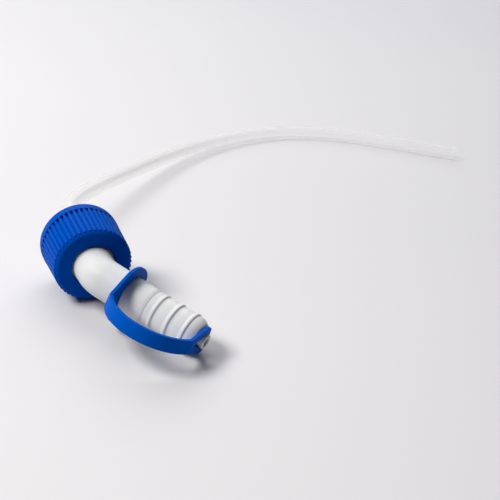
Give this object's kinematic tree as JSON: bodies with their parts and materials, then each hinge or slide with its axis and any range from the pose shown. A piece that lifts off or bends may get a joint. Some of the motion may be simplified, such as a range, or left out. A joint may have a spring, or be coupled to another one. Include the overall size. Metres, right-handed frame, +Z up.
{
  "type": "gear oil pump",
  "caption": "Press pump head with a ribbed screw cap, angled spout, ringed nozzle with a bow clip, and a flexible dip tube.",
  "frame": {"origin": "centre of the footprint of everything but the dip tube, on the surface it lies on", "axes": "+Y along the pump axis, from the spout side to the bottle side; +Z up"},
  "size_m": [0.2584, 0.2091, 0.032],
  "materials": {
    "blue_plastic": "satin moulded",
    "clip_plastic": "glossy moulded",
    "white_plastic": "matte moulded",
    "natural_plastic": "unpigmented moulded",
    "natural_seal": "soft moulded",
    "black_rubber": "matte",
    "steel_ball": "polished",
    "spring_wire": "drawn wire",
    "clear_tube": "translucent extruded"
  },
  "bodies": {
    "barrel": {"pump_barrel": "natural_plastic", "bottle_gasket": "black_rubber", "guide_ring": "white_plastic", "wiper_seal": "black_rubber", "inlet_cage": "natural_plastic", "return_spring": "spring_wire", "dip_tube": "clear_tube"},
    "cap": {"screw_cap": "blue_plastic"},
    "plunger": {"plunger": "natural_plastic", "piston_seal": "natural_seal", "stem_o_ring": "black_rubber", "outlet_cage": "natural_plastic"},
    "inlet_ball": {"inlet_ball": "steel_ball"},
    "outlet_ball": {"outlet_ball": "steel_ball"},
    "spout": {"spout_elbow": "white_plastic", "nozzle": "white_plastic", "nozzle_o_ring": "black_rubber", "valve_retainer": "natural_plastic", "drip_valve": "natural_seal"},
    "clip": {"nozzle_clip": "clip_plastic"}
  },
  "joints": [
    {"name": "cap_turn", "type": "hinge", "parent": "barrel", "child": "cap", "pos_m": [-0.00846, 0.01061, 0.016], "axis": [0, 1, 0], "continuous": true},
    {"name": "pump_stroke", "type": "slide", "parent": "barrel", "child": "plunger", "axis": [0, 1, 0], "range_m": [0, 0.005], "stiffness_N_per_m": 1500, "springref_m": -0.003, "deforming": ["return_spring"]},
    {"name": "spout_swivel", "type": "hinge", "parent": "plunger", "child": "spout", "pos_m": [-0.00846, 0.01061, 0.016], "axis": [0, 1, 0], "continuous": true},
    {"name": "clip_swivel", "type": "hinge", "parent": "spout", "child": "clip", "pos_m": [0.00373, -0.01201, 0.01193], "axis": [0.6097, -0.766, -0.2036], "continuous": true},
    {"name": "inlet_ball_lift", "type": "slide", "parent": "barrel", "child": "inlet_ball", "axis": [0, -1, 0], "range_m": [0, 0.0015]},
    {"name": "outlet_ball_lift", "type": "slide", "parent": "plunger", "child": "outlet_ball", "axis": [0, -1, 0], "range_m": [0, 0.0012]}
  ]
}
